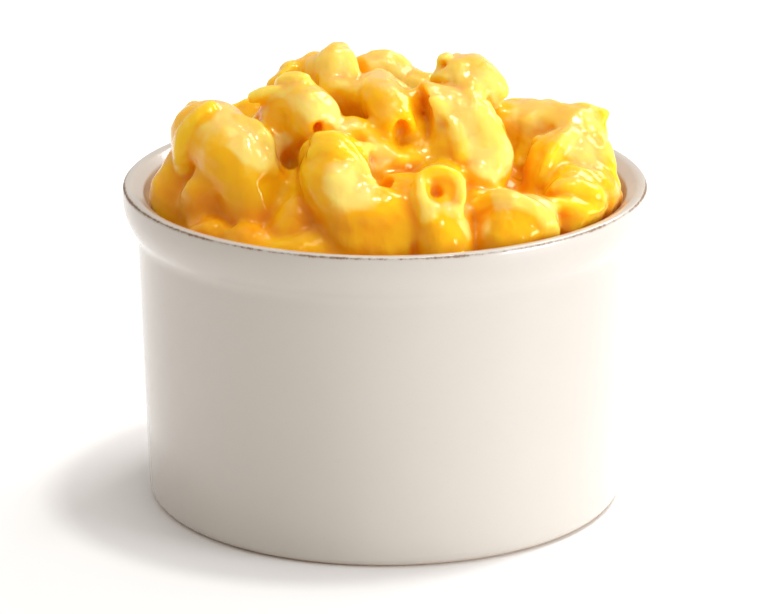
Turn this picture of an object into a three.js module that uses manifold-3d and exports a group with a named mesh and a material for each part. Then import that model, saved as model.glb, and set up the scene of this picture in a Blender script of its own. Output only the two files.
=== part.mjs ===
// Mac and cheese heaped in a round cream ramekin. Millimetres, +Z up, foot on z = 0.
// Two solids: the ramekin, turned from one profile, and the food, which is one solid out to
// its uneven top: a mound of cheese sauce with macaroni elbows and melted shreds fused on.
import * as THREE from "three";
import { mergeVertices } from "three/addons/utils/BufferGeometryUtils.js";
import Module from "manifold-3d";

const wasm = await Module();
wasm.setup();

// Ramekin
const RAMEKIN_HEIGHT = 56.8;
const RIM_RADIUS = 46; // at its widest, on the collar
const BODY_FOOT_RADIUS = 42.1; // the wall leans in a little on its way down
const FOOT_ROUND = 2; // the rounded corner where the wall meets the table
const FOOT_RING_WIDTH = 4;
const FOOT_HOLLOW_DEPTH = 1; // the underside stands a little above the foot ring
const WALL_FOOT_RADIUS = 39.8; // inside, above the rounded corner of the floor
const FLOOR_Z = 4.5;
const FLOOR_ROUND = 4;
const RAMEKIN_SEGMENTS = 60;

// The outside of the collar from the top of the plain wall to the lip, then the inside from the
// lip down: each point is how far in from the rim's radius and how far down from the top it lies.
const COLLAR_POINTS = [
  [2.4, 8.6], // the plain wall ends
  [1.1, 6.6], // the crease under the collar
  [0.25, 4.8],
  [0, 2.8],
  [0, 0.9],
  [0.3, 0.3],
  [0.8, 0], // the lip's flat top
];
const INSIDE_POINTS = [
  [1.6, 0], // the flat top ends
  [3.6, 1.3], // and slopes in
  [4.7, 5.3],
  [5.65, 12], // the straight wall begins
];

// Food
const GAP = 0.3; // between food and ramekin
const FOOD_OVERHANG = 0.6; // how far the food may lean out over the lip
const OVERHANG_LIFT = 1; // and how far above the rim it starts to
const MOUND_EDGE_Z = 50; // the sauce where it meets the wall
const MOUND_CROWN = 18; // how far the mound rises above its edge
const MOUND_RADIUS = 40;
const MOUND_CENTRE = [-3, 1];
const MOUND_STEPS = 8;
const MOUND_TRIM = 10; // how far it is made too wide before it is cut to the ramekin
const FOOD_TOP_Z = 90; // above everything
const SIDES = 8; // round an elbow
const RING_STEP = 4.5; // along an elbow
const CAP_RINGS = 2; // in an elbow's rounded end
const MOUTH_CHAMFER = 0.4; // round the hole of an open end
const END_CHAMFER = 0.8; // round its outside
const WELD = 0.002; // vertices nearer than this are one
const SMOOTHING = 0.06; // edges that bend the skin by less than this are dropped
const SHRED_SIDES = 5;
const SHRED_RING_STEP = 4;

// The elbows that make the front and the top of the heap, each laid by hand. Its centre line
// starts, bends and ends at the three points, and its radius runs from the first to the second
// value, sauce included. A bore is an end that lies open, with its hole's radius and depth.
const LAID_ELBOWS = [
  { from: [-33, -5, 61], over: [-35.5, -9, 55.5], to: [-35, -10, 48.5], radius: [5.2, 5.3] },
  { from: [-31.5, -6, 65.5], over: [-26.5, -15, 66], to: [-22, -20, 57.5], radius: [5.6, 4.9] },
  { from: [-25, -10, 66], over: [-22.5, -15, 65], to: [-19, -19, 59], radius: [4.2, 3.8] },
  { from: [-30.5, -21, 51.5], over: [-28.5, -23, 52.5], to: [-26, -22, 50.5], radius: [4, 4] },
  { from: [-23, -26, 52], over: [-17.5, -30, 51], to: [-11.5, -30, 52], radius: [4.9, 4.8] },
  { from: [-16, -26, 55], over: [-14, -22, 58], to: [-14.5, -17, 60], radius: [4.2, 4] },
  { from: [-8.5, -20, 65], over: [-7, -27, 61.5], to: [-1.5, -28.5, 58.2], radius: [5.9, 5.4] },
  { from: [-10.5, -27, 58], over: [-7.5, -31, 54.5], to: [0.5, -32, 54.5], radius: [4.2, 4.6] },
  { from: [9, -29.5, 63.6], over: [9.5, -21, 61.5], to: [9, -12, 60.5], radius: [4.5, 4.6], bore: [1.6, 1.4] },
  { from: [10, -33, 49.5], over: [10, -33, 55], to: [9.5, -24, 53.5], radius: [5.2, 5.2] },
  { from: [19, -30, 52.5], over: [21.5, -30, 56.3], to: [25, -23, 54], radius: [5.6, 5.4] },
  { from: [32, -20, 50], over: [31.5, -20.5, 56.5], to: [31, -12, 56.5], radius: [5.1, 5.1] },
  { from: [32.5, -4, 62.5], over: [34, -8, 60], to: [34.8, -7, 55], radius: [5, 5] },
  { from: [20.5, 3, 65.3], over: [28, 2.5, 65.6], to: [34.5, -1.5, 65], radius: [4.9, 4.6] },
  { from: [28, -12, 58.5], over: [28.5, -9.5, 62], to: [32, -5, 64], radius: [4.2, 4.2] },
  { from: [6.3, -8, 71], over: [12, -8, 70.3], to: [16.3, -17, 61.5], radius: [5.4, 4.3], bore: [4, 1.5] },
  { from: [13, -2, 74.5], over: [15, -1, 75], to: [16.5, -3, 74], radius: [4.5, 4.5] },
  { from: [-1.5, -1, 71.8], over: [0, -6, 72.2], to: [2.1, -12, 70.6], radius: [4.9, 3.7] },
  { from: [-17.5, 5, 71.5], over: [-14.5, 7, 72.5], to: [-10.5, 5, 74], radius: [3.4, 4.6] },
  { from: [-7.5, -1, 72], over: [-7.5, 2, 74.5], to: [-8, 4, 77.5], radius: [3.4, 3.2] },
  { from: [-19, -6, 67], over: [-15.5, -7.5, 71.5], to: [-12.3, -11.5, 71.3], radius: [4.4, 4.9] },
  { from: [-3, 9, 73], over: [1, 10, 72], to: [5.5, 8, 70], radius: [4.2, 4.2] },
  { from: [-1, -17, 62], over: [2, -15, 63.5], to: [5.5, -14, 63], radius: [3.9, 3.9] },
  { from: [-17, -22, 55], over: [-17, -19, 59], to: [-17.5, -14, 61], radius: [3.6, 3.6] },
  { from: [15, -22, 57.5], over: [17.5, -20, 58], to: [20.5, -21, 57], radius: [3.8, 3.8] },
  { from: [27.5, -17, 56], over: [26, -14, 56.5], to: [25.5, -8, 56], radius: [3, 3] },
  { from: [-9.5, -13, 67], over: [-5.5, -12, 67.5], to: [-1, -13, 66], radius: [4, 4] },
];

// Rounded lumps of sauce and cheese, as centre and half-sizes.
const LUMPS = [
  { at: [-30, -9, 67], half: [5.8, 5.6, 6] }, // on the bend of the big elbow at the left
  { at: [10.7, -1.2, 79], half: [1.5, 1.4, 1.2] }, // the knob on the top right
  { at: [39, -6, 54], half: [2.6, 2.6, 3] }, // against the right wall
  { at: [23.5, 4, 58], half: [9, 9, 7] }, // sauce filling the dip at the right
  { at: [-18.5, -2, 63], half: [6, 7, 7] }, // and the dip at the left
  { at: [-6, 2, 68.5], half: [6, 6, 6] }, // and the one behind the top
  { at: [10.5, -13, 66.3], half: [5.5, 4.5, 4.5] }, // sauce under the open elbow at the top right
  { at: [15.7, -26, 56.5], half: [3.5, 3.5, 4] }, // and between the elbows along the front
  { at: [4.2, -28, 57], half: [3.5, 3.5, 4] },
  { at: [-17.5, -9, 65.5], half: [5, 5, 5] },
  { at: [-30.5, -15.5, 54.5], half: [4, 4, 4] },
  { at: [-3.3, 8, 75.2], half: [2, 2, 1.8] }, // curds along the top edge
  { at: [-1, 8.5, 75.1], half: [1.7, 2, 1.7] },
  { at: [1.3, 8, 74], half: [1.9, 2, 1.8] },
  { at: [3.8, 8, 72.9], half: [1.7, 2, 1.8] },
  { at: [5.9, 7, 71.8], half: [1.7, 2, 1.7] },
];

// Melted shreds of cheese, laid like the elbows.
const SHREDS = [
  { from: [-22.8, -7, 73.8], over: [-21.2, -8, 74.8], to: [-17.5, -8.5, 75.5], radius: [1.2, 1.1] },
  { from: [-18.3, -5, 74.6], over: [-17, -7, 77], to: [-13.8, -8.5, 77.2], radius: [1.2, 1.2] },
  { from: [-24.5, -13, 70.8], over: [-21, -15.5, 69.5], to: [-20, -20.5, 64.5], radius: [1.5, 1.3] },
  { from: [-11, -21, 70], over: [-6, -24, 69.3], to: [-1.5, -27, 64], radius: [1.4, 1.2] },
  { from: [5.6, -29, 66.6], over: [5.3, -32, 64.3], to: [6.6, -34.5, 60.5], radius: [1.4, 1.4] },
  { from: [17, -27, 60.5], over: [24.5, -30.5, 61.8], to: [29.5, -28.5, 54.5], radius: [1.9, 1.8] },
  { from: [31, 1, 69.3], over: [35, 0, 69.8], to: [38.2, -1.5, 69.3], radius: [1.4, 1.1] },
  { from: [12, -3, 78.2], over: [16.5, -3.5, 78], to: [20.3, -5, 74.5], radius: [1.1, 1.1] },
];

// The back of the heap follows a rule: rings of elbows sunk into the mound, from one side
// round to the other, with every place, turn and bend drawn from a seeded sequence.
const BACK_SEED = 4711;
const BACK_RINGS = [
  { distance: 33.5, count: 8, lift: -2.6 },
  { distance: 23, count: 6, lift: -1 },
  { distance: 12.5, count: 3, lift: 0 },
];
const BACK_FROM_DEG = 2;
const BACK_TO_DEG = 178;
const BACK_HALF_LENGTH = [5.5, 8];
const BACK_BOW = [2, 4]; // how far the middle stands above the ends
const BACK_RADIUS = [4.6, 5.3];
const BACK_TURN_DEG = 55; // either side of lying along the ring
const BACK_STEP_SHIFT = 0.2; // of the step from one elbow to the next
const BACK_LIFT_SHIFT = 0.6;
const BACK_LEAN = 2;

const degrees = (value) => THREE.MathUtils.degToRad(value);

// Points of a circular arc in a profile, from one angle to the other.
function arcPoints(centreX, centreY, radius, fromDeg, toDeg, steps) {
  const points = [];
  for (let i = 0; i <= steps; i += 1) {
    const angle = degrees(fromDeg + ((toDeg - fromDeg) * i) / steps);
    points.push(new THREE.Vector2(centreX + radius * Math.cos(angle), centreY + radius * Math.sin(angle)));
  }
  return points;
}

// A solid of revolution about Z: the profile holds radius and height, from axis to axis.
function turned(profile, segments) {
  const geometry = new THREE.LatheGeometry(profile, segments);
  geometry.rotateX(Math.PI / 2);
  return geometry;
}

// A point of the collar or the inside, from how far in and how far down it lies.
function fromRim([inwards, down], offset = 0) {
  return new THREE.Vector2(RIM_RADIUS - inwards - offset, RAMEKIN_HEIGHT - down);
}

// The inside of the ramekin from its floor's corner up to the lip, moved inwards by an offset.
function insideProfile(offset) {
  const cornerCentre = WALL_FOOT_RADIUS - FLOOR_ROUND;
  return [
    ...arcPoints(cornerCentre, FLOOR_Z + FLOOR_ROUND, FLOOR_ROUND - offset, -90, 0, 4),
    ...INSIDE_POINTS.slice(1)
      .reverse()
      .map((point) => fromRim(point, offset)),
  ];
}

function ramekinGeometry() {
  const footCentre = BODY_FOOT_RADIUS - FOOT_ROUND;
  const ringInner = footCentre - FOOT_RING_WIDTH;
  const profile = [
    new THREE.Vector2(0, FOOT_HOLLOW_DEPTH),
    new THREE.Vector2(ringInner - FOOT_HOLLOW_DEPTH, FOOT_HOLLOW_DEPTH),
    new THREE.Vector2(ringInner, 0),
    ...arcPoints(footCentre, FOOT_ROUND, FOOT_ROUND, -90, 0, 4),
    ...COLLAR_POINTS.map((point) => fromRim(point)),
    fromRim(INSIDE_POINTS[0]),
    ...insideProfile(0).reverse(),
    new THREE.Vector2(0, FLOOR_Z),
  ];
  return turned(profile, RAMEKIN_SEGMENTS);
}

// A manifold solid from a closed geometry. Bending can't turn it inside out, so no test is needed.
function solid(geometry) {
  const bare = geometry.clone();
  bare.deleteAttribute("normal");
  bare.deleteAttribute("uv");
  const welded = mergeVertices(bare, WELD);
  return new wasm.Manifold(
    new wasm.Mesh({
      numProp: 3,
      vertProperties: new Float32Array(welded.attributes.position.array),
      triVerts: new Uint32Array(welded.index.array),
    }),
  );
}

// The circular arc through three points: its centre, radius, sweep and axes.
function arcThrough(from, over, to) {
  const [a, b, c] = [from, over, to].map((point) => new THREE.Vector3(...point));
  const triangle = new THREE.Triangle(a, b, c);
  const normal = triangle.getNormal(new THREE.Vector3());
  const toFrom = a.clone().sub(b);
  const toTo = c.clone().sub(b);
  const cross = new THREE.Vector3().crossVectors(toFrom, toTo);
  const centre = new THREE.Vector3()
    .addScaledVector(new THREE.Vector3().crossVectors(toTo, cross), toFrom.lengthSq())
    .addScaledVector(new THREE.Vector3().crossVectors(cross, toFrom), toTo.lengthSq())
    .divideScalar(2 * cross.lengthSq())
    .add(b);
  const outwards = a.clone().sub(centre);
  const bend = outwards.length();
  outwards.normalize();
  const onwards = new THREE.Vector3().crossVectors(normal, outwards);
  const last = c.clone().sub(centre);
  const sweep = (Math.atan2(last.dot(onwards), last.dot(outwards)) + 2 * Math.PI) % (2 * Math.PI);
  return { centre, bend, sweep, outwards, onwards, normal };
}

// A round rod along the arc through three points, with rounded ends or a blind bore at its start.
// It is turned as a straight rod first, along Y, and each vertex is then carried onto the arc.
function bentRod({ from, over, to, radius, bore }, sides, ringStep) {
  const arc = arcThrough(from, over, to);
  const length = arc.bend * arc.sweep;
  const [startRadius, endRadius] = radius;
  const profile = [];
  if (bore) {
    const [hole, depth] = bore;
    profile.push(new THREE.Vector2(0, depth), new THREE.Vector2(hole, depth));
    profile.push(new THREE.Vector2(hole, MOUTH_CHAMFER), new THREE.Vector2(hole + MOUTH_CHAMFER, 0));
    profile.push(new THREE.Vector2(startRadius - END_CHAMFER, 0), new THREE.Vector2(startRadius, END_CHAMFER));
  } else {
    profile.push(...arcPoints(0, 0, startRadius, -90, 0, CAP_RINGS + 1));
  }
  const rings = Math.max(2, Math.round(length / ringStep));
  for (let i = 1; i < rings; i += 1) {
    const along = i / rings;
    profile.push(new THREE.Vector2(startRadius + (endRadius - startRadius) * along, length * along));
  }
  profile.push(...arcPoints(0, length, endRadius, 0, 90, CAP_RINGS + 1));
  profile.at(0).x = 0;
  profile.at(-1).x = 0;

  const geometry = new THREE.LatheGeometry(profile, sides);
  const position = geometry.attributes.position;
  const radial = new THREE.Vector3();
  for (let i = 0; i < position.count; i += 1) {
    const along = Math.min(Math.max(position.getY(i), 0), length);
    const beyond = position.getY(i) - along;
    const angle = along / arc.bend;
    radial.copy(arc.outwards).multiplyScalar(Math.cos(angle));
    radial.addScaledVector(arc.onwards, Math.sin(angle));
    const forwards = new THREE.Vector3().crossVectors(arc.normal, radial);
    const place = arc.centre.clone().addScaledVector(radial, arc.bend + position.getX(i));
    place.addScaledVector(forwards, beyond);
    place.addScaledVector(arc.normal, position.getZ(i));
    position.setXYZ(i, place.x, place.y, place.z);
  }
  return geometry;
}

// Evenly spread numbers from 0 to 1, the same on every run.
function seededDraw(seed) {
  let state = seed;
  return (low, high) => {
    state = (state * 16807) % 2147483647;
    return low + ((high - low) * state) / 2147483647;
  };
}

function moundHeight(x, y) {
  const away = Math.hypot(x - MOUND_CENTRE[0], y - MOUND_CENTRE[1]) / MOUND_RADIUS;
  return MOUND_EDGE_Z + MOUND_CROWN * Math.max(0, 1 - away * away);
}

function backElbows() {
  const draw = seededDraw(BACK_SEED);
  const elbows = [];
  for (const { distance, count, lift } of BACK_RINGS) {
    for (let i = 0; i < count; i += 1) {
      const share = (i + 0.5 + draw(-BACK_STEP_SHIFT, BACK_STEP_SHIFT)) / count;
      const round = degrees(BACK_FROM_DEG + (BACK_TO_DEG - BACK_FROM_DEG) * share);
      const x = distance * Math.cos(round);
      const y = distance * Math.sin(round);
      const z = moundHeight(x, y) + lift + draw(-BACK_LIFT_SHIFT, BACK_LIFT_SHIFT);
      const heading = round + Math.PI / 2 + degrees(draw(-BACK_TURN_DEG, BACK_TURN_DEG));
      const half = draw(...BACK_HALF_LENGTH);
      const bow = draw(...BACK_BOW);
      const lean = draw(-BACK_LEAN, BACK_LEAN);
      const reachX = half * Math.cos(heading);
      const reachY = half * Math.sin(heading);
      const radius = draw(...BACK_RADIUS);
      elbows.push({
        from: [x - reachX, y - reachY, z - bow / 2 - lean],
        over: [x, y, z + bow / 2],
        to: [x + reachX, y + reachY, z - bow / 2 + lean],
        radius: [radius, radius],
      });
    }
  }
  return elbows;
}

function moundGeometry() {
  const wide = RIM_RADIUS + MOUND_TRIM;
  const profile = [new THREE.Vector2(0, FLOOR_Z - 1), new THREE.Vector2(wide, FLOOR_Z - 1)];
  profile.push(new THREE.Vector2(wide, MOUND_EDGE_Z));
  for (let i = MOUND_STEPS; i >= 0; i -= 1) {
    const away = i / MOUND_STEPS;
    profile.push(new THREE.Vector2(MOUND_RADIUS * away, MOUND_EDGE_Z + MOUND_CROWN * (1 - away * away)));
  }
  const geometry = turned(profile, RAMEKIN_SEGMENTS / 2);
  geometry.translate(MOUND_CENTRE[0], MOUND_CENTRE[1], 0);
  return geometry;
}

// What the food may fill: the ramekin's inside less the gap, and the air above it.
function roomGeometry() {
  const inside = insideProfile(GAP);
  const edge = inside.at(-1);
  const profile = [
    new THREE.Vector2(0, FLOOR_Z + GAP),
    ...inside,
    new THREE.Vector2(edge.x + FOOD_OVERHANG, RAMEKIN_HEIGHT + OVERHANG_LIFT),
    new THREE.Vector2(edge.x + FOOD_OVERHANG, FOOD_TOP_Z),
    new THREE.Vector2(0, FOOD_TOP_Z),
  ];
  return turned(profile, RAMEKIN_SEGMENTS);
}

function lumpGeometry({ at, half }) {
  const geometry = new THREE.SphereGeometry(1, SIDES, SIDES / 2);
  geometry.scale(...half);
  geometry.translate(...at);
  return geometry;
}

// The outer skin of the largest piece, so a hollow that fusing sealed is filled and a loose
// scrap is dropped.
function largestSkin(food) {
  const skins = food.decompose().sort((a, b) => b.volume() - a.volume());
  const skin = skins[0].getMesh();
  const geometry = new THREE.BufferGeometry();
  geometry.setAttribute("position", new THREE.BufferAttribute(skin.vertProperties, 3));
  geometry.setIndex(new THREE.BufferAttribute(skin.triVerts, 1));
  return geometry;
}

// The mound with everything fused on, cut to the room in the ramekin.
function foodGeometry() {
  let food = solid(moundGeometry());
  for (const elbow of [...LAID_ELBOWS, ...backElbows()]) {
    food = food.add(solid(bentRod(elbow, SIDES, RING_STEP)));
  }
  for (const lump of LUMPS) {
    food = food.add(solid(lumpGeometry(lump)));
  }
  for (const shred of SHREDS) {
    food = food.add(solid(bentRod(shred, SHRED_SIDES, SHRED_RING_STEP)));
  }
  food = food.intersect(solid(roomGeometry()));
  const cut = largestSkin(food.simplify(SMOOTHING));
  const geometry = largestSkin(solid(cut)); // welding can pinch a hollow off, so it is sorted again
  geometry.computeVertexNormals();
  return geometry;
}

function named(name, geometry, color, roughness) {
  const material = new THREE.MeshStandardMaterial({ color, roughness, metalness: 0 });
  const mesh = new THREE.Mesh(geometry, material);
  mesh.name = name;
  return mesh;
}

const macAndCheese = new THREE.Group();
macAndCheese.add(named("ramekin", ramekinGeometry(), 0xeee6da, 0.25));
macAndCheese.add(named("macaroni", foodGeometry(), 0xf0ae3a, 0.3));

export default macAndCheese;
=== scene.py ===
import math

import bpy
import numpy as np
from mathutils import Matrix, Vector


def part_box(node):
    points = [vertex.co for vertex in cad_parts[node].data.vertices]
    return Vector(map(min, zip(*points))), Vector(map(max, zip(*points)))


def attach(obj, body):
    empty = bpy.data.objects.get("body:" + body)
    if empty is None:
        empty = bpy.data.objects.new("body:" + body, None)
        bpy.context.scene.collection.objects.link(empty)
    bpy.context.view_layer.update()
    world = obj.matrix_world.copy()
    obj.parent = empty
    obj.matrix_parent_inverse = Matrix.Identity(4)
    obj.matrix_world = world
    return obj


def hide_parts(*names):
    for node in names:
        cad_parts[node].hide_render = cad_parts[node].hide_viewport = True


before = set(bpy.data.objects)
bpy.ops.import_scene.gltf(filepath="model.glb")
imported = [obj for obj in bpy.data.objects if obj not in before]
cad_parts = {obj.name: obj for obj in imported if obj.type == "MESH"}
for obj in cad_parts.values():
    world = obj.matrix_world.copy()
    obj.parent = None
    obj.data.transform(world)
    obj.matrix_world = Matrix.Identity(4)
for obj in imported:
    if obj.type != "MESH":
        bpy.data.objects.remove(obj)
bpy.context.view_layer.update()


# ------------------------------------------------------------------------------------------------
# The ramekin: one piece of stoneware, turned with a bulging collar to lift it by. It was dipped in
# cream glaze, which has worn through to brown along the lip, and its foot ring is left bare.
# Lengths are millimetres from here to the table, and times MM they are metres.
# ------------------------------------------------------------------------------------------------

MM = 0.001
MM_PER_METRE = 1000
dish_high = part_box("ramekin")[1]
DISH_HEIGHT = dish_high[2] / MM
RIM_RADIUS = dish_high[0] / MM
FOOT_RADIUS = RIM_RADIUS - 3.9
WAIST_RADIUS = RIM_RADIUS - 2.4
WAIST_Z = DISH_HEIGHT - 8.6
INSIDE_RADIUS = RIM_RADIUS - 6.2
INSIDE_TOP_RADIUS = RIM_RADIUS - 5.6
FLOOR_Z = 4.5
UNDERSIDE_Z = 1.0
COLLAR_SWELL = 0.15
DISH_SEGMENTS = 256

GREY_CREAM = (0.515, 0.472, 0.422, 1)
WARM_CREAM = (0.548, 0.506, 0.455, 1)
TAN_SPECK = (0.55, 0.43, 0.30, 1)
WORN_BROWN = (0.20, 0.12, 0.07, 1)
BARE_CLAY = (0.50, 0.38, 0.27, 1)


def rounded_outline(corners, steps=7):
    """A polyline whose corners are parabolas.

    Corner C with rounding length d becomes the quadratic Bezier curve (1-t)^2 A + 2t(1-t) C + t^2 B,
    where A and B lie at distance d from C along its two edges. The first and last points stay.
    """
    corners = np.array(corners, float)
    points, rounding = corners[:, :2], corners[:, 2:3]
    edges = np.diff(points, axis=0)
    edges /= np.linalg.norm(edges, axis=1, keepdims=True)
    leave = points[1:-1] - edges[:-1] * rounding[1:-1]
    join = points[1:-1] + edges[1:] * rounding[1:-1]
    t = np.linspace(0, 1, steps)[None, :, None]
    curve = (1 - t) ** 2 * leave[:, None] + 2 * t * (1 - t) * points[1:-1, None] + t**2 * join[:, None]
    return np.vstack([points[:1], curve.reshape(-1, 2), points[-1:]])


def turned(outline, segments, sway=lambda angle, height: 0 * angle):
    """An outline from axis to axis turned about Z: (r cos a, r sin a, z), with one vertex at each pole.

    The sway, a function of angle and height, is added to the radius where the outline is off the axis.
    """
    angle = np.arange(segments) * 2 * np.pi / segments
    radius, height = outline[1:-1, :1], outline[1:-1, 1:]
    radius = radius + sway(angle[None, :], height)
    rings = np.stack([radius * np.cos(angle), radius * np.sin(angle), height + 0 * radius], axis=-1)
    poles = [[0, 0, outline[0, 1]], [0, 0, outline[-1, 1]]]
    vertices = np.vstack([rings.reshape(-1, 3), poles])
    here = np.arange(segments)
    after = (here + 1) % segments
    first = np.arange(len(outline) - 3)[:, None] * segments
    below, above = (first + here, first + after), (first + segments + after, first + segments + here)
    walls = np.stack([*below, *above], axis=-1)
    last = (len(outline) - 3) * segments
    bottom = np.stack([np.full(segments, len(vertices) - 2), after, here], axis=-1)
    top = np.stack([np.full(segments, len(vertices) - 1), last + here, last + after], axis=-1)
    return vertices, [*walls.reshape(-1, 4).tolist(), *bottom.tolist(), *top.tolist()]


def make_piece(name, vertices_mm, faces, material, node, attributes=None):
    """A smooth mesh piece that rides on the root and stands for a solid of the frame, whose mesh it hides.
    """
    mesh = bpy.data.meshes.new(name)
    mesh.from_pydata((np.asarray(vertices_mm) * MM).tolist(), [], faces)
    mesh.polygons.foreach_set("use_smooth", [True] * len(mesh.polygons))
    for key, values in (attributes or {}).items():
        layer = mesh.attributes.new(key, "FLOAT", "POINT")
        layer.data.foreach_set("value", np.asarray(values, np.float32))
    mesh.materials.append(material)
    mesh.update()
    piece = bpy.data.objects.new(name, mesh)
    bpy.context.scene.collection.objects.link(piece)
    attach(piece, "root")
    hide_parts(node)
    return piece


class Shade:
    """A node socket that is used in sums: each operator adds one Math node."""

    def __init__(self, tree, socket):
        self.tree = tree
        self.socket = socket

    def _math(self, operation, *values):
        return self.tree.add("ShaderNodeMath", {"operation": operation}, values)

    def __add__(self, other):
        return self._math("ADD", self, other)

    def __radd__(self, other):
        return self._math("ADD", other, self)

    def __sub__(self, other):
        return self._math("SUBTRACT", self, other)

    def __rsub__(self, other):
        return self._math("SUBTRACT", other, self)

    def __mul__(self, other):
        return self._math("MULTIPLY", self, other)

    def __rmul__(self, other):
        return self._math("MULTIPLY", other, self)

    def __pow__(self, other):
        return self._math("POWER", self, other)

    def __rpow__(self, other):
        return self._math("POWER", other, self)


class MaterialTree:
    """The nodes of one material, round a Principled BSDF."""

    def __init__(self, name, settings):
        self.material = bpy.data.materials.new(name)
        self.material.use_nodes = True
        self.nodes = self.material.node_tree.nodes
        self.links = self.material.node_tree.links
        self.surface = self.nodes["Principled BSDF"]
        for socket, value in settings.items():
            self.surface.inputs[socket].default_value = value

    def add(self, kind, settings=None, values=(), output=0):
        """A node of a kind, its settings set first, then its sockets by order or by name."""
        node = self.nodes.new(kind)
        for key, value in (settings or {}).items():
            setattr(node, key, value)
        pairs = values.items() if isinstance(values, dict) else enumerate(values)
        for key, value in pairs:
            if isinstance(value, Shade):
                self.links.new(value.socket, node.inputs[key])
            else:
                node.inputs[key].default_value = value
        return Shade(self, node.outputs[output])

    def feed(self, socket, value):
        """Links a value to a socket of the Principled BSDF."""
        self.links.new(value.socket, self.surface.inputs[socket])

    def place(self):
        """Object coordinates, which are metres from the middle of the ramekin's foot."""
        return self.add("ShaderNodeTexCoord", output="Object")

    def noise(self, size_mm, detail=2.0, stretch=(1, 1, 1), roughness=0.5):
        """Noise from 0 to 1 whose lumps are about a size across, drawn out along the axes by a stretch."""
        scale = [1 / (value * size_mm * MM) for value in stretch]
        scaled = self.add("ShaderNodeVectorMath", {"operation": "MULTIPLY"}, [self.place(), scale])
        sockets = {"Vector": scaled, "Scale": 1.0, "Detail": detail, "Roughness": roughness}
        return self.add("ShaderNodeTexNoise", {"noise_dimensions": "3D"}, sockets)

    def between(self, value, low, high):
        """0 below a low value, 1 above a high one, and smooth from one to the other."""
        settings = {"interpolation_type": "SMOOTHSTEP"}
        sockets = {"Value": value, "From Min": low, "From Max": high, "To Min": 0.0, "To Max": 1.0}
        return self.add("ShaderNodeMapRange", settings, sockets)

    def attribute(self, name):
        """A number kept at each vertex of the piece's mesh."""
        return self.add("ShaderNodeAttribute", {"attribute_name": name}, output="Fac")

    def mix(self, share, first, second):
        """A colour that goes from the first to the second as the share goes from 0 to 1."""
        sockets = {0: share, 6: first, 7: second}
        return self.add("ShaderNodeMix", {"data_type": "RGBA"}, sockets, output=2)

    def bump(self, height, depth_mm, under=None):
        """The normal of a skin raised by a height from 0 to 1 times a depth, over another normal."""
        values = {"Height": height, "Distance": depth_mm * MM}
        if under is not None:
            values["Normal"] = under
        return self.add("ShaderNodeBump", values=values)


def glaze_material():
    """Cream glaze: faint clouding, tan specks, brown where the lip has worn, bare clay on the foot."""
    tree = MaterialTree(
        "cream_glaze",
        {
            "IOR": 1.5,
            "Coat Roughness": 0.06,
            "Coat IOR": 1.5,
            "Subsurface Weight": 0.08,
            "Subsurface Scale": 0.002,
            "Subsurface Radius": (1.0, 0.8, 0.6),
        },
    )
    x, y, z = (tree.add("ShaderNodeSeparateXYZ", values=[tree.place()], output=axis) for axis in range(3))
    radius = (x * x + y * y) ** 0.5
    edge_radius = (RIM_RADIUS - 0.2) * MM
    edge_z = (DISH_HEIGHT - 0.2) * MM
    off_edge = ((radius - edge_radius) * (radius - edge_radius) + (z - edge_z) * (z - edge_z)) ** 0.5
    ragged = tree.noise(0.8, detail=3.0, roughness=0.7) * 0.7 + tree.noise(11, detail=2.0) * 0.8
    worn = 1 - tree.between(off_edge * MM_PER_METRE + ragged, 0.8, 1.15)
    clouds = tree.noise(26, detail=3.0)
    specks = tree.between(tree.noise(0.7, detail=1.0), 0.7, 0.78)
    bare_foot = 1 - tree.between(z * MM_PER_METRE + tree.noise(3, detail=3.0) * 0.6, 0.6, 1.2)
    cream = tree.mix(clouds, GREY_CREAM, WARM_CREAM)
    speckled = tree.mix(specks * 0.25, cream, TAN_SPECK)
    rubbed = tree.mix(worn, speckled, WORN_BROWN)
    tree.feed("Base Color", tree.mix(bare_foot, rubbed, BARE_CLAY))
    tree.feed("Roughness", 0.2 + clouds * 0.1 + worn * 0.35 + bare_foot * 0.45)
    tree.feed("Coat Weight", (1 - worn) * (1 - bare_foot) * 0.5)
    skin = tree.bump(tree.noise(5, detail=2.0), 0.06)
    tree.feed("Normal", tree.bump(worn * -1.0, 0.05, under=skin))
    return tree.material


def hand_turned(angle, height):
    """Slow waves round and up the wall, as a hand leaves: 0.16 mm either way, less 0.16 mm all over."""
    return 0.10 * np.sin(2 * angle + 0.7) + 0.06 * np.sin(5 * angle + height / 19) - 0.16


dish_outline = rounded_outline(
    [
        (0, UNDERSIDE_Z, 0),
        (FOOT_RADIUS - 7, UNDERSIDE_Z, 0.6),
        (FOOT_RADIUS - 6, 0, 0.5),
        (FOOT_RADIUS, 0, 2.2),
        (WAIST_RADIUS, WAIST_Z, 1.3),
        (WAIST_RADIUS + 1.4, WAIST_Z + 2.1, 1.1),
        (RIM_RADIUS + COLLAR_SWELL, DISH_HEIGHT - 3.6, 1.9),
        (RIM_RADIUS, DISH_HEIGHT, 0.8),
        (RIM_RADIUS - 1.6, DISH_HEIGHT, 0.5),
        (RIM_RADIUS - 3.6, DISH_HEIGHT - 1.3, 0.35),
        (INSIDE_TOP_RADIUS, DISH_HEIGHT - 8, 4),
        (INSIDE_RADIUS, FLOOR_Z, 3.5),
        (0, FLOOR_Z, 0),
    ]
)
dish_vertices, dish_faces = turned(dish_outline, DISH_SEGMENTS, hand_turned)
make_piece("ramekin", dish_vertices, dish_faces, glaze_material(), "ramekin")
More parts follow.
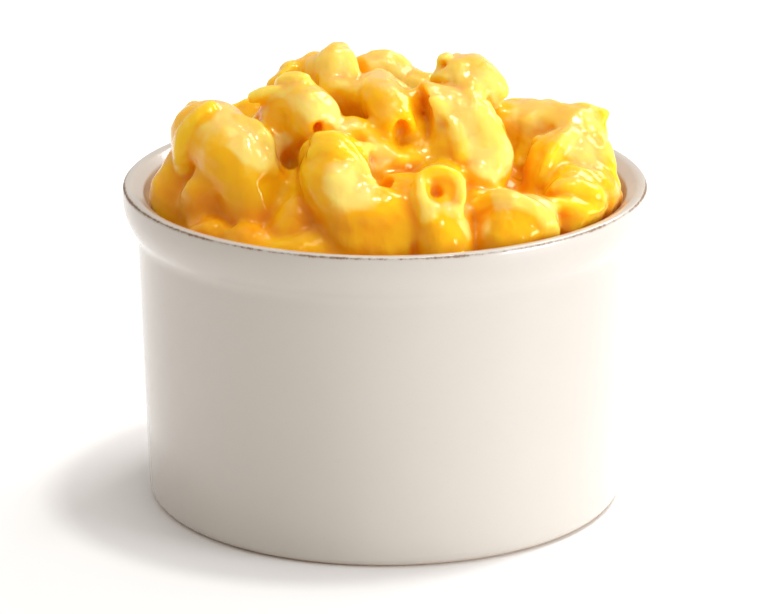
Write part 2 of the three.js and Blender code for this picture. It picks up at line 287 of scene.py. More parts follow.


# ------------------------------------------------------------------------------------------------
# The heap: cooked elbow macaroni, soft tubes a centimetre across, stirred into cheddar sauce that
# glues them over a mound of itself. Its skin is where a field of distances is zero: each elbow is a
# round rod bent along an arc, and a smooth minimum joins it to its neighbours, as the sauce does.
# ------------------------------------------------------------------------------------------------

# The mound is a dome: its edge height, crown, radius and centre. Below a height, shade is painted orange.
MOUND_EDGE_Z = 50
MOUND_CROWN = 18
MOUND_RADIUS = 40
MOUND_CENTRE = (-3, 1)
LOW_SHADE_TOP_Z = 70
LOW_SHADE_DEPTH = 16

# How softly elbows, lumps and hollows are joined, and how much of a small lump its joint leaves.
SAUCE_FILLET = 0.9
LUMP_FILLET = 3
LUMP_LEFT = 0.8
HOLLOW_EDGE = 0.6

# An open end: how far its hole is cut before the mouth, and the roundness of its cut, floor and lip.
BORE_MOUTH = 1.5
CUT_EDGE = 0.8
BORE_FLOOR_EDGE = 1.5
BORE_LIP = 0.5

# A melted shred: how far it spreads, how high it stands, and how much thinner the rod in it is.
RIBBON_SPREAD = 0.5
RIBBON_HEIGHT = 0.5
RIBBON_EDGE = 0.5
ROD_THINNED = 0.15
ROD_FILLET = 0.4
SHRED_FILLET = 0.6

# The sauce that fills corners: a blur of the field over a few grid points, sunk by a depth.
FILL_LIMIT = 4
FILL_REACH = 3
FILL_ROUNDS = 3
SAUCE_DEPTH = 1.1
FILL_FILLET = 0.8

# Unevenness of the whole skin: height, seed and size of its slow swells and of its dimples, and the
# least and greatest share of that size that a wave has.
SWELLS = (0.25, 3, 8.0)
DIMPLES = (0.09, 5, 3.0)
WAVE_SPREAD = (0.7, 1.6)

# Where the heap meets the ramekin's wall, which flares towards its lip.
WALL_GAP = 0.1
WALL_FLARE = 0.26
FLARE_DEPTH = 10
FREE_ABOVE_RIM = 0.8

# The grid of the field, and distances: of a place far off, of the open air below, and by the skin.
GRID_STEP = 0.5
GRID_LOW = np.array([-43.0, -43.0, 45.0])
GRID_HIGH = np.array([43.0, 43.0, 83.0])
FAR = 99
OPEN_BELOW = 9
JUST_OFF = 0.02

# How far past a rod or a shred its block of the grid reaches, and the moves that bring a vertex onto
# the skin: how many, and the longest.
ROD_MARGIN = 3
SHRED_MARGIN = 2
SKIN_MOVES = 2
LONGEST_MOVE = 0.3

# How high above the skin the field tells whether a place is closed in, and how much each tells.
WIDE_LOOK = 3.0
NEAR_LOOK = 1.3
WIDE_SHARE = 0.75
NEAR_SHARE = 0.45

# Start, middle and end of each centre line, radius at start and end, and an open start's bore and depth.
LAID_ELBOWS = [
    ((-33, -5, 61), (-35.5, -9, 55.5), (-35, -10, 48.5), (5.2, 5.3), 0),
    ((-31, -6, 66), (-26.5, -14.5, 66.2), (-22.5, -20.5, 57.5), (5.8, 5.1), 0),
    ((-25, -10, 66), (-22.5, -15, 65), (-19, -19, 59), (4.2, 3.8), 0),
    ((-30.5, -21, 51.5), (-28.5, -23, 52.5), (-26, -22, 50.5), (4, 4), 0),
    ((-23, -26, 52), (-17.5, -30, 51), (-11.5, -30, 52), (4.9, 4.8), 0),
    ((-16, -26, 55), (-14, -22, 58), (-14.5, -17, 60), (4.2, 4), 0),
    ((-8.5, -20, 65), (-7, -27, 61.5), (-1.5, -28.5, 58.2), (5.9, 5.4), 0),
    ((-6.5, -27.5, 58), (-4, -31.2, 54.6), (2, -31.8, 54.5), (4.4, 4.6), 0),
    ((8.7, -29.5, 63), (9.3, -21, 61.3), (9, -12, 60.5), (4.3, 4.6), (1.5, 1)),
    ((10, -33, 49.5), (10, -33, 55), (9.5, -24, 53.5), (5.2, 5.2), 0),
    ((18.7, -30, 52.5), (21.2, -30, 56.2), (24, -23, 54), (5.5, 5.3), 0),
    ((32.8, -20, 50), (32.6, -20.3, 56), (31.5, -12, 56.5), (5.3, 5.2), 0),
    ((32.5, -4, 62.5), (34, -8, 60), (34.8, -7, 55), (5, 5), 0),
    ((20.5, 3, 65.3), (28, 2.5, 65.6), (34.5, -1.5, 65), (4.9, 4.6), 0),
    ((28, -12, 58.5), (28.5, -9.5, 62), (32, -5, 64), (4.2, 4.2), 0),
    ((7.1, -8, 71), (12.2, -8, 70.3), (16.3, -17, 61.5), (5.4, 4.3), (0.4, 0.1)),
    ((13, -2, 74.5), (15, -1, 75), (16.5, -3, 74), (4.5, 4.5), 0),
    ((-1.5, -1, 71.8), (-0.2, -6, 72.2), (1.7, -12, 70.6), (4.9, 3.5), 0),
    ((-17.5, 5, 71.5), (-14.5, 7, 72.5), (-10.5, 5, 74), (3.4, 4.6), 0),
    ((-7.5, -1, 72), (-7.5, 2, 74.5), (-8, 4, 76.7), (3.4, 3.2), 0),
    ((-19, -6, 67), (-15.5, -7.5, 71.5), (-12.3, -11.5, 71.3), (4.4, 4.9), 0),
    ((-3, 9, 73), (1, 10, 72), (5.5, 8, 70), (4.2, 4.2), 0),
    ((-1, -17, 62), (2, -15, 63.5), (5.5, -14, 63), (3.9, 3.9), 0),
    ((-17, -22, 55), (-17, -19, 59), (-17.5, -14, 61), (3.6, 3.6), 0),
    ((15, -22, 57.5), (17.5, -20, 58), (20.5, -21, 57), (3.8, 3.8), 0),
    ((27.5, -17, 56), (26, -14, 56.5), (25.5, -8, 56), (3, 3), 0),
    ((-9.5, -13, 67), (-5.5, -12, 67.5), (-1, -13, 66), (4, 4), 0),
]

# Lumps of sauce and cheese: centre and half-sizes.
LUMPS = [
    ((-30, -9, 67), (5.8, 5.6, 6)),
    ((10.7, -1.2, 79), (1.5, 1.4, 1.2)),
    ((39, -6, 54), (2.6, 2.6, 3)),
    ((23.5, 4, 58), (9, 9, 7)),
    ((-18.5, -2, 63), (6, 7, 7)),
    ((-6, 2, 68.5), (6, 6, 6)),
    ((11.8, -12.5, 65.2), (4.8, 4.2, 4.6)),
    ((15.7, -26, 56.5), (3.5, 3.5, 4)),
    ((4.4, -29.5, 58), (3.6, 3.6, 5)),
    ((-3, -30.5, 58), (6, 3.5, 5)),
    ((2.5, -24, 61.8), (4, 4, 3)),
    ((36.8, -13, 57), (3.6, 4, 5.5)),
    ((-17.5, -9, 65.5), (5, 5, 5)),
    ((-30.5, -16, 57), (4.5, 4, 6)),
    ((-39, -8, 57.2), (1.8, 3, 2.6)),
    ((-12.5, -17.5, 65.5), (2.6, 2.6, 3)),
    ((4.6, -6.5, 70.5), (2, 3.5, 4)),
    ((5.6, -9.5, 67.8), (2, 3.2, 2.6)),
    ((-3.3, 8, 75.2), (2, 2, 1.8)),
    ((-1, 8.5, 75.1), (1.7, 2, 1.7)),
    ((1.3, 8, 74), (1.9, 2, 1.8)),
    ((3.8, 8, 72.9), (1.7, 2, 1.8)),
    ((5.9, 7, 71.8), (1.7, 2, 1.7)),
]

# Paler sauce: milkier sauce, and painted light on lit parts. Centre and reach; elsewhere a little less than
# none.
LEAST_PALE = -0.35
PALE_AND_LIT_SAUCE = [
    ((16, -3, 76), 9),
    ((14, -10, 73), 7),
    ((18.5, -17, 66.5), 5),
    ((31, -1, 69), 7),
    ((35, -8, 65), 6),
    ((3, 6, 75), 9),
    ((-5, 0, 78), 6),
    ((-5.3, -30.5, 64.5), 5.4),
    ((14, -30, 62), 4),
    ((5, -33, 63), 4),
    ((26, -29, 58), 4),
    ((-19, -15, 66.5), 5),
    ((-25, -12, 70), 6),
    ((-18, -8, 77), 3),
    ((-9.5, -13, 73), 4.5),
    ((10, -12, 74), 4.5),
    ((13, -32, 63), 3.5),
    ((-22, -20.5, 69), 4),
    ((15.5, -33.5, 58.5), 3.5),
    ((-2.5, -18.5, 66), 4),
    ((26.5, -1.5, 69), 6),
    ((21.5, -30, 62.5), 4.5),
    ((28.5, -29, 59.5), 4.5),
]

# Where the deeper golden sauce lies on top, given alike.
GOLDEN_SAUCE = [
    ((-27, -20, 63.5), 5),
    ((7.5, -15.5, 66), 5),
    ((-3.5, -10, 73), 3.5),
    ((-19.5, -13, 72), 4),
    ((-12, -26, 63), 4),
    ((-4, -33, 57), 5),
    ((3.3, -31, 61), 4.5),
    ((10, -36, 57), 4),
    ((21, -34, 58), 5),
    ((29, -16, 63.5), 4.5),
    ((21, -4, 64), 5),
    ((-7, -11, 70), 4),
    ((9.3, -29.5, 63), 3.2),
    ((9, -27, 67), 3),
    ((6.3, -11, 71), 2.8),
    ((-31, -12.5, 73), 3.5),
    ((-7.6, -25.5, 70.5), 4),
]

# Painted shade: places painted a deeper orange, given alike.
SHADE_PATCHES = [
    ((-31, -23, 57), 7),
    ((-22, -28.5, 57), 6),
    ((-13.5, -28, 59), 5.5),
    ((-36, -13, 58), 5),
    ((3.5, -19, 64), 5),
]

# Small dark hollows between the elbows: centre and half-sizes.
HOLLOWS = [
    ((-11.6, -15.8, 70.6), (1, 1.9, 1.3)),
    ((-16.5, -15, 64.5), (1.2, 1.8, 1.6)),
    ((3.1, -15.3, 69.7), (1.8, 3.2, 2.4)),
    ((-0.7, -26, 63.6), (2.1, 2.9, 3.4)),
]

# The back of the heap: rings of elbows sunk into the mound, each ring given by its radius, its
# count and its lift. A seeded sequence draws each elbow's own place and shape between two values.
BACK_RINGS = [(33.5, 8, -2.6), (23, 6, -1), (12.5, 3, 0)]
BACK_FROM_DEG = 2
BACK_TO_DEG = 178
BACK_SLIP = (-0.2, 0.2)
BACK_LIFT = (-0.6, 0.6)
BACK_TURN_DEG = (-55, 55)
BACK_HALF_LENGTH = (5.5, 8)
BACK_BOW = (2, 4)
BACK_LEAN = (-2, 2)
BACK_RADIUS = (4.6, 5.3)
BACK_SEED = 4711
SEQUENCE_FACTOR = 16807
SEQUENCE_MODULUS = 2147483647

# Melted shreds of grated cheddar, as the elbows are given.
SHREDS = [
    ((-22.8, -7, 73.8), (-21.2, -8, 74.8), (-17.5, -8.5, 75.5), (1.2, 1.1), 0),
    ((-18.3, -5, 74.6), (-17, -7, 77), (-13.8, -8.5, 77.2), (1.2, 1.2), 0),
    ((-18, -7, 74.5), (-16, -9.5, 75.6), (-12.5, -12.5, 75), (0.9, 0.9), 0),
    ((-30, -11, 72.7), (-33.5, -12.5, 70), (-34.5, -11, 62.5), (1.2, 1.2), 0),
    ((-24.5, -13, 70.8), (-21, -15.5, 69.5), (-20, -20.5, 64.5), (1.5, 1.3), 0),
    ((-11, -21, 70), (-6, -24, 69.3), (-3, -28, 65.2), (1.4, 1.2), 0),
    ((-12.5, -23.5, 68.6), (-7.5, -25.5, 69.2), (-3, -28.5, 64.8), (0.9, 0.8), 0),
    ((-4, -20.5, 68), (-2, -17, 67.5), (2.5, -17.5, 65), (1.2, 1.1), 0),
    ((6.1, -28.5, 65.6), (6.1, -31.3, 63.3), (7.4, -34, 60), (1.3, 1.2), 0),
    ((6.1, -28.6, 65.8), (9.5, -28.4, 67), (13.2, -28.8, 65), (0.8, 0.8), 0),
    ((12.9, -29, 64.8), (13.3, -30.8, 62.6), (12.2, -32.8, 60.6), (0.8, 0.8), 0),
    ((16.8, -27, 60.5), (24, -30.5, 61.4), (28, -29.5, 54), (1.6, 1.6), 0),
    ((29.9, -20, 61.2), (34, -20.8, 61.2), (36.8, -17.5, 57.5), (1.1, 1), 0),
    ((29.5, -24.5, 59.8), (33, -24.5, 59), (35.5, -21.5, 56), (0.9, 0.9), 0),
    ((31, 1, 69.3), (35, 0, 69.8), (38.2, -1.5, 69.3), (1.4, 1.1), 0),
    ((28.5, 0, 68), (32.5, -3.5, 68), (36.5, -5.5, 66.5), (1.2, 1.2), 0),
    ((31.8, -7.5, 67.3), (29, -12.3, 65.7), (27, -15.5, 61.8), (1.2, 1.1), 0),
    ((32.3, -4.5, 66.8), (35.5, -6.5, 66), (37.6, -8.5, 63.5), (0.9, 0.9), 0),
    ((37, -6, 66.3), (38.5, -9, 63.5), (38.8, -11, 58.5), (1.3, 1.2), 0),
    ((13, -3.5, 78.1), (13.8, -6, 76.1), (16.5, -8, 74), (1.1, 1.1), 0),
    ((14.5, -8, 74.3), (16.3, -11.5, 72), (17.6, -15.5, 68), (1.1, 1), 0),
    ((12, -3, 78.2), (16.5, -3.5, 78), (20.3, -5, 74.5), (1.1, 1.1), 0),
    ((8.5, -11.5, 74.2), (11.3, -14, 71), (13, -17.5, 66.5), (0.8, 0.7), 0),
    ((17.8, -9, 73.2), (19, -13.5, 69.5), (19.2, -17.5, 64.5), (0.8, 0.7), 0),
    ((-10.5, 3.5, 78.5), (-10.8, 1, 76.4), (-9.5, -2.5, 73.5), (1.1, 1.1), 0),
    ((-6.5, 2.5, 78.3), (-5.5, 0.5, 76.5), (-6.5, -3.5, 74), (0.9, 0.9), 0),
]

# Shorter shreds strewn behind those: where they are drawn, and their sizes, each between two values.
# A drawn place is kept where it lies on the skin, on a slope that faces up, and above the rim.
STREWN_SHREDS = 70
STREWN_SEED = 29
STREWN_DRAWS = 8
STREWN_REACH = 37
STREWN_TOP = 80
STREWN_FROM_Y = -6
STREWN_ABOVE_RIM = 1
STREWN_ON_SKIN = 0.1
STREWN_FACING_UP = 0.15
SETTLING_MOVES = 5
STREWN_HALF_LENGTH = (1.8, 4.5)
STREWN_BOW = (0.3, 1.5)
STREWN_RADIUS = (0.5, 1.0)
STREWN_TAPER = 0.8


def mound_height(x, y):
    """A dome: the edge height plus the crown times one less the square of the share of the radius."""
    share = ((x - MOUND_CENTRE[0]) ** 2 + (y - MOUND_CENTRE[1]) ** 2) / MOUND_RADIUS**2
    return MOUND_EDGE_Z + MOUND_CROWN * np.maximum(0, 1 - share)


def mound_distance(points):
    """About how far points lie above the mound: their height over it, divided by sqrt(1 + slope^2)."""
    x, y, z = (points[..., axis] for axis in range(3))
    from_middle = np.hypot(x - MOUND_CENTRE[0], y - MOUND_CENTRE[1])
    slope = 2 * MOUND_CROWN * np.minimum(from_middle, MOUND_RADIUS) / MOUND_RADIUS**2
    return (z - mound_height(x, y)) / np.sqrt(1 + slope**2)


def back_elbows():
    """Elbows in rings round the back: a place on the ring, a heading near its tangent, and a bow."""
    state = BACK_SEED

    def draw(low, high):
        nonlocal state
        state = state * SEQUENCE_FACTOR % SEQUENCE_MODULUS
        return low + (high - low) * state / SEQUENCE_MODULUS

    elbows = []
    for distance, count, lift in BACK_RINGS:
        for index in range(count):
            share = (index + 0.5 + draw(*BACK_SLIP)) / count
            turn = math.radians(BACK_FROM_DEG + (BACK_TO_DEG - BACK_FROM_DEG) * share)
            x, y = distance * math.cos(turn), distance * math.sin(turn)
            z = float(mound_height(x, y)) + lift + draw(*BACK_LIFT)
            heading = turn + math.pi / 2 + math.radians(draw(*BACK_TURN_DEG))
            half = draw(*BACK_HALF_LENGTH)
            bow = draw(*BACK_BOW)
            lean = draw(*BACK_LEAN)
            reach = np.array([half * math.cos(heading), half * math.sin(heading)])
            radius = draw(*BACK_RADIUS)
            start = (x - reach[0], y - reach[1], z - bow / 2 - lean)
            end = (x + reach[0], y + reach[1], z - bow / 2 + lean)
            elbows.append((start, (x, y, z + bow / 2), end, (radius, radius), 0))
    return elbows


def arc_through(start, middle, end):
    """The circle through three points, with its angle measured from the start to the end.

    With a and b the start and end seen from the middle, its centre is the middle plus
    (|a|^2 b x n + |b|^2 n x a) / 2|n|^2, where n is a x b.
    """
    start, middle, end = (np.array(point, float) for point in (start, middle, end))
    a, b = start - middle, end - middle
    normal = np.cross(b, a)
    normal_square = normal @ normal
    centre = middle + (a @ a * np.cross(normal, b) + b @ b * np.cross(a, normal)) / (2 * normal_square)
    normal /= math.sqrt(normal_square)
    outwards = start - centre
    bend = np.linalg.norm(outwards)
    outwards /= bend
    onwards = np.cross(normal, outwards)
    last = end - centre
    sweep = math.atan2(last @ onwards, last @ outwards) % (2 * math.pi)
    return centre, bend, sweep, outwards, onwards, normal


def rod_distance(points, rod):
    """How far points lie outside a bent rod: the distance to its centre arc, less its radius there.

    The share runs from 0 at the start to 1 at the end. An open start is cut flat, and how far points
    lie outside its bore comes back too.
    """
    start, middle, end, (first_radius, last_radius), bore = rod
    centre, bend, sweep, outwards, onwards, normal = arc_through(start, middle, end)
    away = points - centre.astype(np.float32)
    a, b, c = (away @ axis.astype(np.float32) for axis in (outwards, onwards, normal))
    half = sweep / 2
    along = a * math.cos(half) + b * math.sin(half)
    ahead = b * math.cos(half) - a * math.sin(half)
    turn = np.arctan2(ahead, along) + half
    held = np.clip(turn, 0, sweep)
    off = np.sqrt((a - bend * np.cos(held)) ** 2 + (b - bend * np.sin(held)) ** 2 + c**2)
    share = held / sweep
    distance = off - (first_radius + (last_radius - first_radius) * share)
    inside_bore = None
    if bore:
        past_start = -b
        near = share < 0.5
        distance = np.where(near, smooth_max(distance, past_start, CUT_EDGE), distance)
        across = np.sqrt((np.hypot(a, b) - bend) ** 2 + c**2)
        bore_radius, bore_depth = bore
        from_middle = np.abs(past_start + (bore_depth - BORE_MOUTH) / 2) - (bore_depth + BORE_MOUTH) / 2
        drilled = smooth_max(across - bore_radius, from_middle, BORE_FLOOR_EDGE)
        inside_bore = np.where(near, drilled, FAR)
    return distance, inside_bore


def smooth_min(a, b, fillet):
    """The lesser of two distances, with the corner between them filled to a depth of a quarter fillet."""
    share = np.clip(0.5 + 0.5 * (b - a) / fillet, 0, 1)
    return b + (a - b) * share - fillet * share * (1 - share)


def smooth_max(a, b, fillet):
    """The greater of two distances, with the corner between them rounded by as much."""
    return -smooth_min(-a, -b, fillet)


def lump_distance(points, lump):
    """Nearly how far points lie outside an ellipsoid: (|offset / half-sizes| - 1) times the least half."""
    centre, half = (np.array(value, np.float32) for value in lump)
    return (np.linalg.norm((points - centre) / half, axis=-1) - 1) * half.min()


def waves(points, seed, size, count=14):
    """Smooth unevenness between about -1 and 1: a sum of plane waves of random heading and phase."""
    draw = np.random.default_rng(seed)
    heading = draw.normal(size=(count, 3))
    heading /= np.linalg.norm(heading, axis=1, keepdims=True)
    heading *= 2 * np.pi / (size * draw.uniform(*WAVE_SPREAD, (count, 1)))
    phase = draw.uniform(0, 2 * np.pi, count)
    total = np.zeros(points.shape[:-1], np.float32)
    for wave, shift in zip(heading.astype(np.float32), phase):
        total += np.sin(points @ wave + np.float32(shift))
    return total / math.sqrt(count)


def blurred(values, reach, rounds):
    """Values averaged over cubes of 2 reach + 1 grid points a side, as many rounds as are asked for."""
    for _ in range(rounds):
        for axis in range(3):
            rolled = np.moveaxis(values, axis, 0)
            padded = np.concatenate([rolled[:1].repeat(reach + 1, 0), rolled, rolled[-1:].repeat(reach, 0)])
            total = np.cumsum(padded, axis=0, dtype=np.float64)
            mean = (total[2 * reach + 1 :] - total[: -2 * reach - 1]) / (2 * reach + 1)
            values = np.moveaxis(mean.astype(np.float32), 0, axis)
    return values


def reached(region, start):
    """The grid points of a region that hang together with a start, by sweeps along each axis both ways."""
    reach = region & start
    count = -1
    while count != reach.sum():
        count = reach.sum()
        for axis in range(3):
            there, allowed = np.moveaxis(reach, axis, 0), np.moveaxis(region, axis, 0)
            for layers, open_to in ((there, allowed), (there[::-1], allowed[::-1])):
                for index in range(1, len(layers)):
                    layers[index] |= layers[index - 1] & open_to[index]
    return reach


class Field:
    """Distances on a grid of points, below zero inside the heap."""

    def __init__(self, low, high, step, first_distance):
        self.low, self.step = low, step
        self.count = np.ceil((high - low) / step).astype(int) + 1
        axes = [low[axis] + step * np.arange(self.count[axis]) for axis in range(3)]
        self.points = np.stack(np.meshgrid(*axes, indexing="ij"), axis=-1).astype(np.float32)
        self.values = first_distance(self.points)

    def block(self, low, high):
        """The part of the grid inside a box."""
        first = np.clip(np.floor((low - self.low) / self.step).astype(int), 0, self.count)
        last = np.clip(np.ceil((high - self.low) / self.step).astype(int) + 1, 0, self.count)
        return tuple(slice(a, b) for a, b in zip(first, last))

    def at(self, places):
        """Values between the grid's points, weighted by nearness along each axis."""
        scaled = np.clip((places - self.low) / self.step, 0, self.count - 1.001)
        whole = scaled.astype(int)
        part = scaled - whole
        total = 0
        for corner in np.ndindex(2, 2, 2):
            weight = np.prod(np.where(corner, part, 1 - part), axis=1)
            total = total + weight * self.values[tuple((whole + corner).T)]
        return total

    def slope(self, places):
        """The direction in which the values grow fastest, as unit vectors."""
        step = self.step
        sides = [self.at(places + step * axis) - self.at(places - step * axis) for axis in np.eye(3)]
        slope = np.stack(sides, axis=-1)
        return slope / np.maximum(np.linalg.norm(slope, axis=-1, keepdims=True), 1e-9)

    def mend(self):
        """Leaves one body whose skin nowhere touches itself along an edge.

        Where the points inside lie across a square of the grid from each other, the nearer of the
        other two joins them. Then holes that no air reaches are filled, and loose crumbs go.
        """
        pinches = 1
        while pinches:
            pinches = 0
            for axis in range(3):
                layers = np.moveaxis(self.values, axis, 0)
                square = (layers[:, :-1, :-1], layers[:, 1:, :-1], layers[:, 1:, 1:], layers[:, :-1, 1:])
                for a, b, c, d in (square, square[1:] + square[:1]):
                    pinched = (a < 0) & (c < 0) & (b >= 0) & (d >= 0)
                    nearer, farther = pinched & (b <= d), pinched & (b > d)
                    b[nearer] = -JUST_OFF
                    d[farther] = -JUST_OFF
                    pinches += pinched.sum()
        inside = self.values < 0
        height = np.arange(self.count[2])
        sealed = ~inside & ~reached(~inside, height == self.count[2] - 1)
        loose = inside & ~reached(inside, height == 1)
        self.values[sealed] = -JUST_OFF
        self.values[loose] = JUST_OFF

    def skin(self):
        """The surface where the values are zero, by surface nets.

        Each grid cell that the surface crosses gets one vertex, at the mean of the points where its
        edges change sign, and each grid edge that changes sign gets a quad of its four cells'
        vertices, facing the side with the larger values.
        """
        inside = self.values < 0
        cells = np.zeros(tuple(self.count - 1), np.int8)
        for corner in np.ndindex(2, 2, 2):
            cells += inside[tuple(slice(a, a + size) for a, size in zip(corner, self.count - 1))]
        place = np.argwhere((cells > 0) & (cells < 8))
        number = np.full(cells.shape, -1, np.int32)
        number[tuple(place.T)] = np.arange(len(place))
        total = np.zeros((len(place), 3))
        crossings = np.zeros(len(place))
        faces = []
        for axis in range(3):
            along = np.eye(3, dtype=int)[axis]
            one, two = (np.eye(3, dtype=int)[other] for other in range(3) if other != axis)
            for shift in (0 * along, one, two, one + two):
                near = self.values[tuple((place + shift).T)]
                far = self.values[tuple((place + shift + along).T)]
                crossed = (near < 0) != (far < 0)
                share = np.where(crossed, near / np.where(crossed, near - far, 1), 0)
                total += (place + shift + share[:, None] * along) * crossed[:, None]
                crossings += crossed
            middle = [slice(1, -1)] * 3
            middle[axis] = slice(0, -1)
            ahead = list(middle)
            ahead[axis] = slice(1, None)
            here, there = inside[tuple(middle)], inside[tuple(ahead)]
            for outwards, mask in ((True, here & ~there), (False, ~here & there)):
                edge = np.argwhere(mask) + one + two
                ring = [edge - one - two, edge - two, edge, edge - one]
                quad = np.stack([number[tuple(cell.T)] for cell in ring], axis=1)
                faces.append(quad if outwards == (axis != 1) else quad[:, ::-1])
        vertices = total / crossings[:, None] * self.step + self.low
        return vertices, np.concatenate(faces)


elbows = LAID_ELBOWS + back_elbows()
heap = Field(GRID_LOW, GRID_HIGH, GRID_STEP, mound_distance)
bores = []


def join_rod(rod, fillet):
    """Joins a bent rod to the heap, in the block of the grid that it reaches."""
    corners = np.array(rod[:3], float)
    reach = max(rod[3]) + ROD_MARGIN
    block = heap.block(corners.min(0) - reach, corners.max(0) + reach)
    distance, inside_bore = rod_distance(heap.points[block], rod)
    heap.values[block] = smooth_min(heap.values[block], distance, fillet)
    if inside_bore is not None:
        bores.append((block, inside_bore))


def drape(shred):
    """Joins a melted shred: a rod where it hangs free, and a low ribbon where it lies on the heap."""
    corners = np.array(shred[:3], float)
    reach = max(shred[3]) + RIBBON_SPREAD + SHRED_MARGIN
    block = heap.block(corners.min(0) - reach, corners.max(0) + reach)
    distance = rod_distance(heap.points[block], shred)[0]
    ribbon = smooth_max(distance - RIBBON_SPREAD, bare[block] - RIBBON_HEIGHT, RIBBON_EDGE)
    shape = smooth_min(ribbon, distance + ROD_THINNED, ROD_FILLET)
    heap.values[block] = smooth_min(heap.values[block], shape, SHRED_FILLET)


def settled(points):
    """Points slid along the field's slope until they lie on the heap's skin."""
    for _ in range(SETTLING_MOVES):
        points = points - heap.at(points)[:, None] * heap.slope(points)
    return points


def strewn_shreds(count, seed):
    """Short shreds lying on the heap behind the laid ones: a place on its skin, a heading, and a bow.

    Places are drawn in the heap's box, settled on the skin, and kept where it faces up above the rim.
    """
    draw = np.random.default_rng(seed)
    low = (-STREWN_REACH, -STREWN_REACH, DISH_HEIGHT)
    high = (STREWN_REACH, STREWN_REACH, STREWN_TOP)
    middle = settled(draw.uniform(low, high, (STREWN_DRAWS * count, 3)))
    normal = heap.slope(middle)
    kept = (np.abs(heap.at(middle)) < STREWN_ON_SKIN) & (normal[:, 2] > STREWN_FACING_UP)
    kept &= (middle[:, 2] > DISH_HEIGHT + STREWN_ABOVE_RIM) & (middle[:, 1] > STREWN_FROM_Y)
    middle, normal = middle[kept][:count], normal[kept][:count]
    heading = np.cross(normal, draw.normal(size=normal.shape))
    heading /= np.linalg.norm(heading, axis=1, keepdims=True)
    sideways = np.cross(normal, heading)
    half = draw.uniform(*STREWN_HALF_LENGTH, (len(middle), 1))
    bow = draw.uniform(*STREWN_BOW, (len(middle), 1))
    start = settled(middle - half * heading + bow * sideways)
    end = settled(middle + half * heading + bow * sideways)
    radius = draw.uniform(*STREWN_RADIUS, len(middle)).tolist()
    rods = zip(start, middle, end, radius)
    return [(*points, (size, STREWN_TAPER * size), 0) for *points, size in rods]


# Elbows and lumps come first, then the sauce that fills corners, the bores, the hollows, the shreds.
for elbow in elbows:
    join_rod(elbow, SAUCE_FILLET)
for lump in LUMPS:
    fillet = min(LUMP_FILLET, min(lump[1]) - LUMP_LEFT)
    heap.values = smooth_min(heap.values, lump_distance(heap.points, lump), fillet)
filled = blurred(np.clip(heap.values, -FILL_LIMIT, FILL_LIMIT), FILL_REACH, FILL_ROUNDS)
heap.values = smooth_min(heap.values, filled + SAUCE_DEPTH, FILL_FILLET)
for block, inside_bore in bores:
    heap.values[block] = smooth_max(heap.values[block], -inside_bore, BORE_LIP)
for hollow in HOLLOWS:
    heap.values = smooth_max(heap.values, -lump_distance(heap.points, hollow), HOLLOW_EDGE)
bare = heap.values.copy()
shreds = SHREDS + strewn_shreds(STREWN_SHREDS, STREWN_SEED)
for shred in shreds:
    drape(shred)
swells, dimples = (height * waves(heap.points, seed, size) for height, seed, size in (SWELLS, DIMPLES))
heap.values += swells + dimples

# The heap ends just short of the ramekin's wall, and its bottom is cut level.
grid_x, grid_y, grid_z = (heap.points[..., axis] for axis in range(3))
flare = np.maximum(grid_z - (DISH_HEIGHT - FLARE_DEPTH), 0) * WALL_FLARE
inner_wall = INSIDE_RADIUS - WALL_GAP + flare
below_rim = grid_z < DISH_HEIGHT + FREE_ABOVE_RIM
heap.values = np.maximum(heap.values, np.where(below_rim, np.hypot(grid_x, grid_y) - inner_wall, -FAR))
heap.values[:, :, 0] = OPEN_BELOW
heap.mend()
heap_vertices, heap_faces = heap.skin()
for _ in range(SKIN_MOVES):
    steepest = heap.slope(heap_vertices)
    off_skin = np.clip(heap.at(heap_vertices), -LONGEST_MOVE, LONGEST_MOVE)
    heap_vertices = heap_vertices - off_skin[:, None] * steepest

# How closed in each place is: how far the field a little above the skin falls short of open air.
# Painted shade: where a place is closed in, the sauce's colour goes orange and less pale.
skin_normals = heap.slope(heap_vertices)
closed_in = 1 - heap.at(heap_vertices + WIDE_LOOK * skin_normals) / WIDE_LOOK
closed_near = 1 - heap.at(heap_vertices + NEAR_LOOK * skin_normals) / NEAR_LOOK
crevice = np.clip(WIDE_SHARE * closed_in + NEAR_SHARE * closed_near, 0, 1)


def distances_to(rods, points):
    """How far each point lies outside each of the rods, one row for each rod."""
    return np.stack([rod_distance(points.astype(np.float32), rod)[0] for rod in rods])


def nearness(points, balls):
    """1 at the middle of a ball, 0 on its skin and less beyond it: the greatest of this over the balls."""
    return np.max([1 - np.linalg.norm(points - place, axis=1) / reach for place, reach in balls], axis=0)


# Each elbow has a tone of its own, which passes into its neighbour's over a millimetre or so. A place
# in an elbow counts as no deeper than the tone's depth.
TONE_SEED = 11
TONE_REACH = 0.8
TONE_DEPTH = 3

